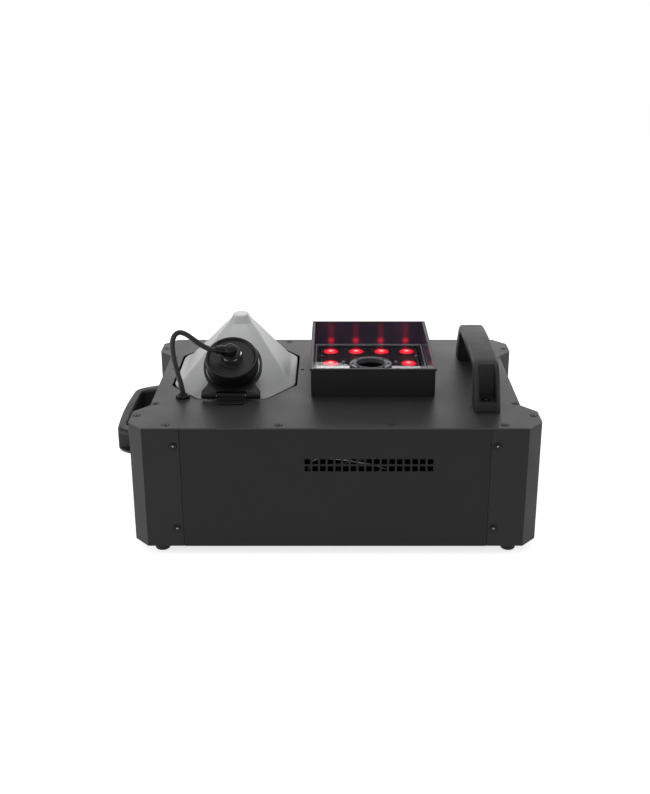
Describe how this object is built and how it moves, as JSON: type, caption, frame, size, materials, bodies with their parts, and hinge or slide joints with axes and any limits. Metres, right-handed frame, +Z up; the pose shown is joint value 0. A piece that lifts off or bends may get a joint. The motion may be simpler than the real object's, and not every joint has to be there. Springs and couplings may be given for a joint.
{
  "type": "fog machine",
  "caption": "Stage fog machine that blows upward through a lit nozzle hood, with an outside fluid tank, hinged cap collar and two bow handles.",
  "frame": {"origin": "centre of the whole object's footprint (casing, side handle and rear fuse cap), on the floor under the feet", "axes": "+X to the right seen from the front, +Y to the back (rear control panel), +Z up"},
  "size_m": [0.462, 0.31, 0.2206],
  "materials": {
    "casing_black": "satin powder coat",
    "rubber_black": "matt",
    "handle_black": "soft satin",
    "clear_window": "polished",
    "lens_red": "polished",
    "board_black": "matt",
    "plastic_black": "satin",
    "tank_milky": "translucent, waxy",
    "nickel": "bright nickel",
    "silicone": "smooth",
    "brass": "turned",
    "hinge_black": "satin",
    "hose_black": "satin",
    "cast_aluminium": "cast",
    "zinc_steel": "zinc plated",
    "board_green": "solder mask",
    "display_dark": "polished",
    "button_grey": "soft",
    "socket_nickel": "satin nickel"
  },
  "bodies": {
    "casing": {"base_plate": "casing_black", "front_panel": "casing_black", "rear_panel": "casing_black", "side_panel_left": "casing_black", "side_panel_right": "casing_black", "corner_post_front_left": "casing_black", "corner_post_front_right": "casing_black", "corner_post_rear_left": "casing_black", "corner_post_rear_right": "casing_black", "top_plate": "casing_black", "foot_front_left": "rubber_black", "foot_front_right": "rubber_black", "foot_rear_left": "rubber_black", "foot_rear_right": "rubber_black", "top_handle": "handle_black", "side_handle": "handle_black", "hood": "casing_black", "light_window": "clear_window", "lens_array": "lens_red", "lamp_board": "board_black", "nozzle_ring": "plastic_black", "nozzle_tube": "plastic_black", "tank": "tank_milky", "tank_pad": "rubber_black", "hinge_lug": "hinge_black", "hinge_pin": "nickel", "hose_gland": "plastic_black", "fluid_hose": "hose_black", "pump_inlet_hose": "hose_black", "heater_block": "cast_aluminium", "heater_outlet": "brass", "heater_cradle": "zinc_steel", "pump_body": "plastic_black", "pump_bracket": "zinc_steel", "pressure_pipe": "brass", "power_board": "board_green", "control_board": "board_green", "fan_frame": "plastic_black", "menu_face": "plastic_black", "display_window": "display_dark", "mains_inlet": "plastic_black", "switch_housing": "plastic_black", "fuse_holder": "plastic_black", "signal_in_socket": "socket_nickel", "signal_out_socket": "socket_nickel"},
    "collar": {"retaining_collar": "plastic_black"},
    "cap_fitting": {"elbow_fitting": "plastic_black", "elbow_nut": "nickel", "pickup_tube": "silicone", "pickup_strainer": "brass"},
    "cap": {"tank_cap": "plastic_black"},
    "plunger": {"pump_plunger": "zinc_steel"},
    "rotor": {"fan_rotor": "plastic_black"},
    "button_1": {"menu_button_1": "button_grey"},
    "button_2": {"menu_button_2": "button_grey"},
    "button_3": {"menu_button_3": "button_grey"},
    "button_4": {"menu_button_4": "button_grey"},
    "rocker": {"power_rocker": "plastic_black"},
    "fuse": {"fuse_cap": "plastic_black"},
    "latch": {"signal_latch": "nickel"}
  },
  "joints": [
    {"name": "collar_hinge", "type": "hinge", "parent": "casing", "child": "collar", "pos_m": [-0.0993, -0.07236, 0.15078], "axis": [1, 0, 0], "range_deg": [0, 130]},
    {"name": "cap_lift", "type": "slide", "parent": "casing", "child": "cap_fitting", "axis": [0, -0.5519, 0.8339], "range_m": [0, 0.065], "deforming": ["fluid_hose"]},
    {"name": "cap_spin", "type": "hinge", "parent": "cap_fitting", "child": "cap", "pos_m": [-0.0993, -0.0403, 0.172], "axis": [0, -0.5519, 0.8339], "range_deg": [0, 720]},
    {"name": "plunger_slide", "type": "slide", "parent": "casing", "child": "plunger", "axis": [1, 0, 0], "range_m": [-0.0015, 0.0015], "stiffness_N_per_m": 300},
    {"name": "fan_spin", "type": "hinge", "parent": "casing", "child": "rotor", "pos_m": [0.2037, -0.015, 0.07], "axis": [1, 0, 0], "continuous": true},
    {"name": "button_1_press", "type": "slide", "parent": "casing", "child": "button_1", "axis": [0, -1, 0], "range_m": [0, 0.0012], "stiffness_N_per_m": 400},
    {"name": "button_2_press", "type": "slide", "parent": "casing", "child": "button_2", "axis": [0, -1, 0], "range_m": [0, 0.0012], "stiffness_N_per_m": 400},
    {"name": "button_3_press", "type": "slide", "parent": "casing", "child": "button_3", "axis": [0, -1, 0], "range_m": [0, 0.0012], "stiffness_N_per_m": 400},
    {"name": "button_4_press", "type": "slide", "parent": "casing", "child": "button_4", "axis": [0, -1, 0], "range_m": [0, 0.0012], "stiffness_N_per_m": 400},
    {"name": "power_rock", "type": "hinge", "parent": "casing", "child": "rocker", "pos_m": [0.14, 0.1453, 0.104], "axis": [1, 0, 0], "range_deg": [0, 16]},
    {"name": "fuse_turn", "type": "hinge", "parent": "casing", "child": "fuse", "pos_m": [0.1, 0.1453, 0.047], "axis": [0, 1, 0], "range_deg": [0, 90]},
    {"name": "latch_press", "type": "slide", "parent": "casing", "child": "latch", "axis": [0, -1, 0], "range_m": [0, 0.0015], "stiffness_N_per_m": 400}
  ]
}
